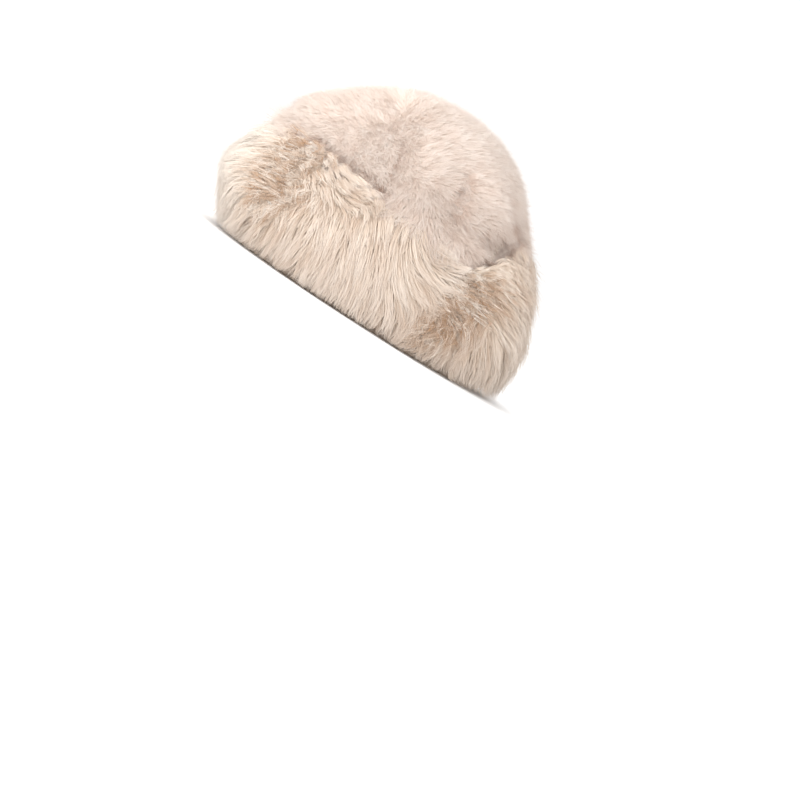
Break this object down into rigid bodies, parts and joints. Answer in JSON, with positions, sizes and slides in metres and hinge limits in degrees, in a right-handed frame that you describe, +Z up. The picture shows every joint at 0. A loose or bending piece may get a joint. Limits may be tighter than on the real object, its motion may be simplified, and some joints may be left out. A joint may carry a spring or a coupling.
{
  "type": "fur hat with a turned-up cuff",
  "caption": "Soft fur hat: a hollow domed crown of short pile with a deep long-pile cuff turned up round its rim.",
  "frame": {"origin": "middle of the hat's outline seen from above, on the surface that its rim rests on", "axes": "+Z up through the crown, -Y towards the front that the wearer faces, +X towards the wearer's left"},
  "size_m": [0.2491, 0.2925, 0.179],
  "materials": {
    "short_pile": "short dense pile, matt, pinkish cream",
    "long_pile": "long soft pile in locks, cream with tan roots"
  },
  "bodies": {
    "root": {"crown": "short_pile", "cuff": "long_pile"}
  },
  "joints": []
}
